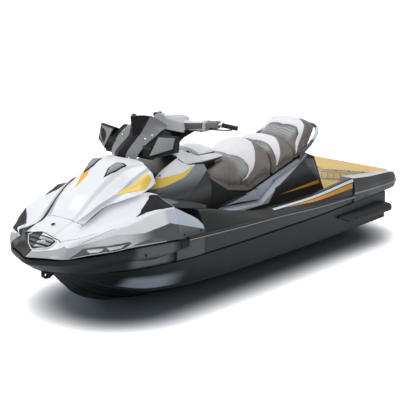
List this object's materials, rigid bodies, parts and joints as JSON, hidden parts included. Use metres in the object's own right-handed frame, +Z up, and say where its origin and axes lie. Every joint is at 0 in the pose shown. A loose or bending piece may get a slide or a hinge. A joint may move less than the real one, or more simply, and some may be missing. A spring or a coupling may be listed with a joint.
{
  "type": "personal watercraft",
  "caption": "Three-seat sit-down personal watercraft with a hinged front hatch, turning handlebar and jet nozzle, reverse bucket, stepped seat and boarding step.",
  "frame": {"origin": "on the waterline amidships, on the centreline", "axes": "+X forward to the bow, +Y to port, +Z up"},
  "size_m": [3.58, 1.194, 1.272],
  "materials": {
    "hull_black": "smooth gelcoat with a soft sheen",
    "deck_grey": "dark grey gelcoat",
    "body_white": "pearl white gelcoat",
    "cowl_silver": "metallic silver paint",
    "bumper_black": "satin moulded plastic",
    "rail_grey": "dull extruded rubber",
    "lamp_clear": "smoked lens in a dark housing",
    "panel_black": "fine grained plastic",
    "shield_black": "gloss black plastic",
    "seat_vinyl": "stitched marine vinyl",
    "mat_foam": "closed-cell foam with routed grooves",
    "alloy": "cast and machined alloy",
    "stainless": "polished stainless steel",
    "engine_iron": "painted block",
    "mirror": "mirror glass",
    "grip_rubber": "soft moulded rubber"
  },
  "bodies": {
    "craft": {"hull": "hull_black", "engine": "engine_iron", "bow_bumper": "bumper_black", "bow_deck": "body_white", "nose_panel": "body_white", "nose_grille": "panel_black", "bow_lamps": "lamp_clear", "side_decks": "deck_grey", "side_cowls": "cowl_silver", "rub_rails": "rail_grey", "rear_platform": "deck_grey", "stern_corners": "deck_grey", "seat_pedestal": "panel_black", "pedestal_panels": "deck_grey", "seat_trims": "cowl_silver", "console": "body_white", "footwell_covers": "cowl_silver", "deck_mats": "mat_foam", "seat_rider": "seat_vinyl", "seat_middle": "seat_vinyl", "seat_rear": "seat_vinyl", "grab_rail": "panel_black", "sponsons": "bumper_black", "bow_eye": "stainless", "stern_fittings": "stainless", "ride_plate": "alloy", "intake_grate": "alloy", "pump_housing": "alloy"},
    "hatch": {"front_hatch": "body_white", "hood_scoops": "cowl_silver", "windshield": "shield_black", "instrument_pod": "panel_black", "mirror_housings": "deck_grey", "mirror_glasses": "mirror"},
    "steering": {"steering_stem": "panel_black", "handlebar": "alloy", "grips": "grip_rubber", "switch_housings": "panel_black", "control_levers": "panel_black", "handlebar_pad": "body_white"},
    "nozzle": {"steering_nozzle": "alloy"},
    "bucket": {"reverse_bucket": "alloy"},
    "pump_rotor": {"impeller": "stainless"},
    "glovebox_cover": {"glovebox_lid": "body_white"},
    "step": {"boarding_step": "stainless"}
  },
  "joints": [
    {"name": "hatch_hinge", "type": "hinge", "parent": "craft", "child": "hatch", "pos_m": [1.472, 0, 0.38], "axis": [0, 1, 0], "range_deg": [0, 45]},
    {"name": "steering_turn", "type": "hinge", "parent": "craft", "child": "steering", "pos_m": [0.375, 0, 0.84], "axis": [-0.5, 0, 0.866], "range_deg": [-18, 18]},
    {"name": "nozzle_turn", "type": "hinge", "parent": "craft", "child": "nozzle", "pos_m": [-1.612, 0, -0.095], "axis": [0, 0, 1], "range_deg": [-18, 18]},
    {"name": "bucket_drop", "type": "hinge", "parent": "craft", "child": "bucket", "pos_m": [-1.605, 0, -0.095], "axis": [0, -1, 0], "range_deg": [0, 68]},
    {"name": "impeller_spin", "type": "hinge", "parent": "craft", "child": "pump_rotor", "pos_m": [-1.4, 0, -0.095], "axis": [1, 0, 0], "continuous": true},
    {"name": "glovebox_hinge", "type": "hinge", "parent": "craft", "child": "glovebox_cover", "pos_m": [0.276, 0, 0.686], "axis": [0, 1, 0], "range_deg": [0, 60]},
    {"name": "step_drop", "type": "hinge", "parent": "craft", "child": "step", "pos_m": [-1.625, 0.28, -0.09], "axis": [0, -1, 0], "range_deg": [0, 165]}
  ],
  "couplings": [
    {"joint": "nozzle_turn", "follows": "steering_turn", "ratio": -1}
  ]
}
